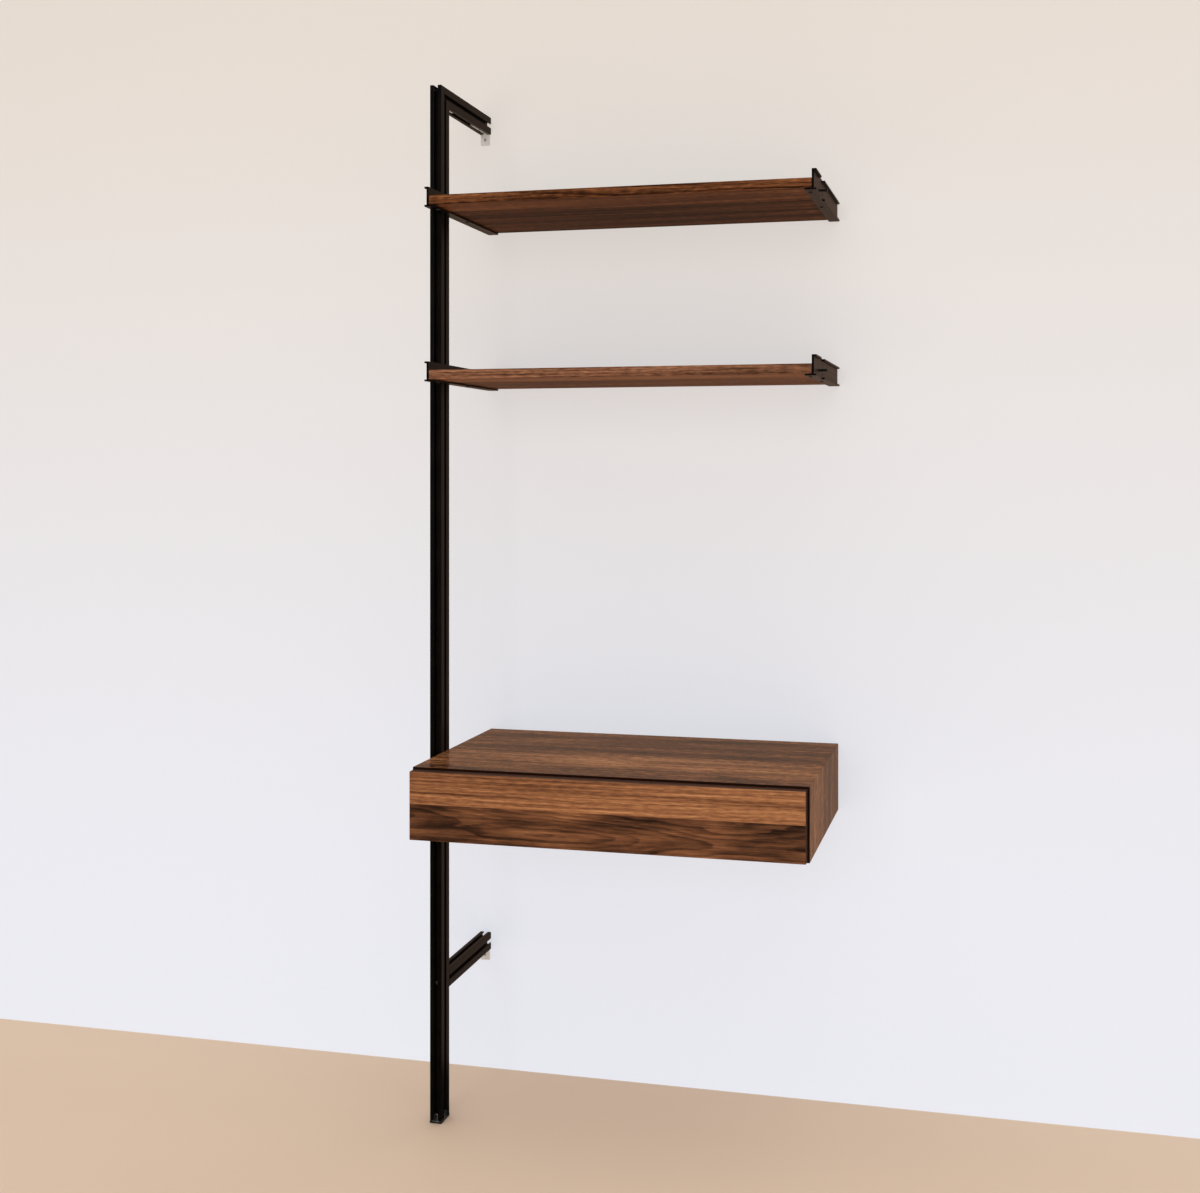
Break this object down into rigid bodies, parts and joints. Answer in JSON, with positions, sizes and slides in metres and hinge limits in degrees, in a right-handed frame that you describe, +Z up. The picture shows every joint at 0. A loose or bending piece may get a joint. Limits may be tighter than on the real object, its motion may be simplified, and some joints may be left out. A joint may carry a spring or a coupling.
{
  "type": "wall-held desk with shelves",
  "caption": "Desk with shelves held to a wall by a black slotted upright with arms: walnut shelves on end brackets above a mitred walnut case with a push-to-open drawer.",
  "frame": {"origin": "middle of the foot's underside, below the upright", "axes": "+X along the wall from the upright towards the free bracket ends, +Y into the wall, +Z up; the drawer faces -Y"},
  "size_m": [0.8226, 0.4029, 2.1336],
  "materials": {
    "black_aluminium": "black anodised, satin",
    "black_plastic": "moulded, matt",
    "zinc_steel": "bright zinc plated",
    "black_steel": "black oxide",
    "walnut": "walnut, oiled satin",
    "birch": "birch ply, clear lacquer"
  },
  "bodies": {
    "frame": {"upright": "black_aluminium", "top_arm": "black_aluminium", "lower_arm": "black_aluminium", "upper_shelf_left_bracket": "black_aluminium", "upper_shelf_right_bracket": "black_aluminium", "lower_shelf_left_bracket": "black_aluminium", "lower_shelf_right_bracket": "black_aluminium", "foot_cap": "black_plastic", "mitre_key": "zinc_steel", "upper_wall_bracket": "zinc_steel", "lower_wall_bracket": "zinc_steel", "slide_left_case_member": "zinc_steel", "slide_right_case_member": "zinc_steel", "lower_arm_screw": "black_steel", "mitre_key_lower_grub_screw": "black_steel", "mitre_key_upper_grub_screw": "black_steel", "upper_wall_bracket_grub_screw": "black_steel", "lower_wall_bracket_grub_screw": "black_steel", "upper_shelf_left_bracket_tee_bolt": "black_steel", "upper_shelf_left_bracket_tee_bolt_nut": "black_steel", "upper_shelf_left_bracket_front_screw": "black_steel", "upper_shelf_left_bracket_rear_screw": "black_steel", "upper_shelf_right_bracket_tee_bolt": "black_steel", "upper_shelf_right_bracket_tee_bolt_nut": "black_steel", "upper_shelf_right_bracket_front_screw": "black_steel", "upper_shelf_right_bracket_rear_screw": "black_steel", "lower_shelf_left_bracket_tee_bolt": "black_steel", "lower_shelf_left_bracket_tee_bolt_nut": "black_steel", "lower_shelf_left_bracket_front_screw": "black_steel", "lower_shelf_left_bracket_rear_screw": "black_steel", "lower_shelf_right_bracket_tee_bolt": "black_steel", "lower_shelf_right_bracket_tee_bolt_nut": "black_steel", "lower_shelf_right_bracket_front_screw": "black_steel", "lower_shelf_right_bracket_rear_screw": "black_steel", "case_lower_tee_bolt": "black_steel", "case_lower_tee_bolt_nut": "black_steel", "case_upper_tee_bolt": "black_steel", "case_upper_tee_bolt_nut": "black_steel", "case_top": "walnut", "case_bottom": "walnut", "case_left_side": "walnut", "case_right_side": "walnut", "case_back": "walnut", "upper_shelf": "walnut", "lower_shelf": "walnut"},
    "drawer": {"drawer_front": "walnut", "drawer_box_front": "birch", "drawer_left_side": "birch", "drawer_right_side": "birch", "drawer_back": "birch", "drawer_bottom": "birch", "slide_left_drawer_member": "zinc_steel", "slide_right_drawer_member": "zinc_steel"},
    "slide_middle": {"slide_left_middle_member": "zinc_steel", "slide_right_middle_member": "zinc_steel"}
  },
  "joints": [
    {"name": "drawer_slide", "type": "slide", "parent": "frame", "child": "drawer", "axis": [0, -1, 0], "range_m": [-0.0025, 0.3]},
    {"name": "middle_slide", "type": "slide", "parent": "frame", "child": "slide_middle", "axis": [0, -1, 0], "range_m": [-0.00125, 0.15]}
  ],
  "couplings": [
    {"joint": "middle_slide", "follows": "drawer_slide", "ratio": 0.5}
  ]
}
